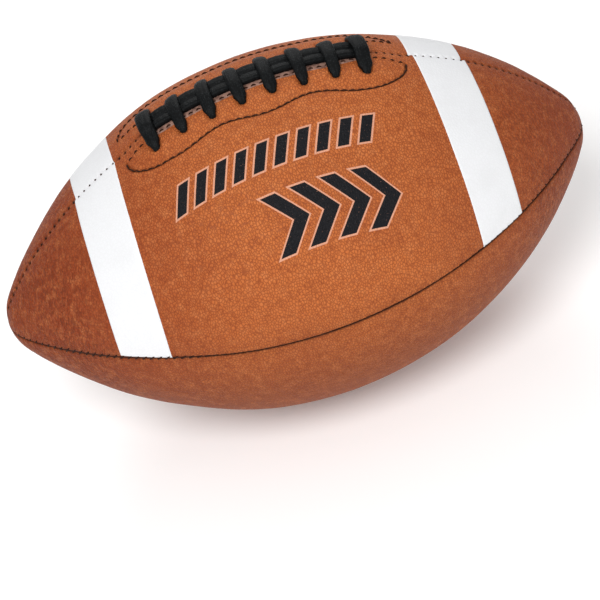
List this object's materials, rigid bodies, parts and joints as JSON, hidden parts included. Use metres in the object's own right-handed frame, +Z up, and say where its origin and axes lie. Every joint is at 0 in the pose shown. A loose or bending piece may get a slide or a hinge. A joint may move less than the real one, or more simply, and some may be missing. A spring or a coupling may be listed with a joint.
{
  "type": "gridiron football",
  "caption": "Prolate leather ball of stitched panels with white end stripes, raised black lacing over a slit, an air bladder and a needle valve.",
  "frame": {"origin": "on the ground below the middle of the ball, which lies level with its laces up", "axes": "+X along the ball from nose to nose, +Z up through the middle of the lacing, -Y towards the front panel, +Y towards the panel with the valve"},
  "size_m": [0.287, 0.168, 0.1736],
  "materials": {
    "panel_leather": "pebbled tan leather, slightly tacky",
    "lining_cloth": "layered cotton lining",
    "stripe": "satin white coated stripe",
    "facing_leather": "plain split leather",
    "guard_leather": "plain split leather",
    "thread": "waxed dark brown thread",
    "lace": "black coated lace, fine ribbed",
    "bladder_rubber": "matt",
    "valve_rubber": "matt"
  },
  "bodies": {
    "root": {"upper_front_panel": "panel_leather", "upper_front_lining": "lining_cloth", "upper_rear_panel": "panel_leather", "upper_rear_lining": "lining_cloth", "lower_front_panel": "panel_leather", "lower_front_lining": "lining_cloth", "lower_rear_panel": "panel_leather", "lower_rear_lining": "lining_cloth", "upper_front_left_stripe": "stripe", "upper_front_right_stripe": "stripe", "upper_rear_left_stripe": "stripe", "upper_rear_right_stripe": "stripe", "front_lace_facing": "facing_leather", "front_facing_stitches": "thread", "front_lace_strand": "lace", "front_inner_lace": "lace", "rear_lace_facing": "facing_leather", "rear_facing_stitches": "thread", "rear_lace_strand": "lace", "rear_inner_lace": "lace", "lace_guard": "guard_leather", "lace_crossing_1": "lace", "lace_crossing_2": "lace", "lace_crossing_3": "lace", "lace_crossing_4": "lace", "lace_crossing_5": "lace", "lace_crossing_6": "lace", "lace_crossing_7": "lace", "lace_crossing_8": "lace", "top_seam_stitches": "thread", "front_seam_stitches": "thread", "bottom_seam_stitches": "thread", "rear_seam_stitches": "thread", "bladder": "bladder_rubber", "valve_housing": "valve_rubber", "valve_plug": "valve_rubber"}
  },
  "joints": []
}
